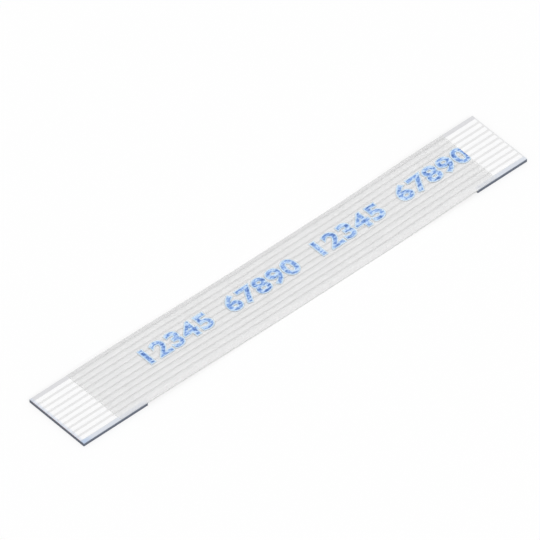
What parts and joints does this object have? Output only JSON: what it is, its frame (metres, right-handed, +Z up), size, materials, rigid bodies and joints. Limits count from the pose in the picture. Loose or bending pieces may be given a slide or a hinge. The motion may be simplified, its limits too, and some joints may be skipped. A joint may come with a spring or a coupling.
{
  "type": "flat flex cable",
  "caption": "Short flat flexible cable: flat tinned conductors between two clear films, bare contacts on the upper face at both ends, each end backed by a stiffener.",
  "frame": {"origin": "on the table, under the middle of the cable", "axes": "+X along the cable towards the right end, +Y across it, +Z up through the films towards the bare contacts"},
  "size_m": [0.04, 0.0054, 0.0003],
  "materials": {
    "base_film": "milky polyester film, glossy",
    "cover_film": "milky see-through polyester film, glossy, over ridged conductors",
    "stiffener": "blue polyester sheet, satin",
    "conductor": "tin plated rolled copper, bright"
  },
  "bodies": {
    "root": {"base_film": "base_film", "cover_film": "cover_film", "stiffener_left": "stiffener", "stiffener_right": "stiffener", "conductor_1": "conductor", "conductor_2": "conductor", "conductor_3": "conductor", "conductor_4": "conductor", "conductor_5": "conductor", "conductor_6": "conductor", "conductor_7": "conductor", "conductor_8": "conductor", "conductor_9": "conductor", "conductor_10": "conductor"}
  },
  "joints": []
}
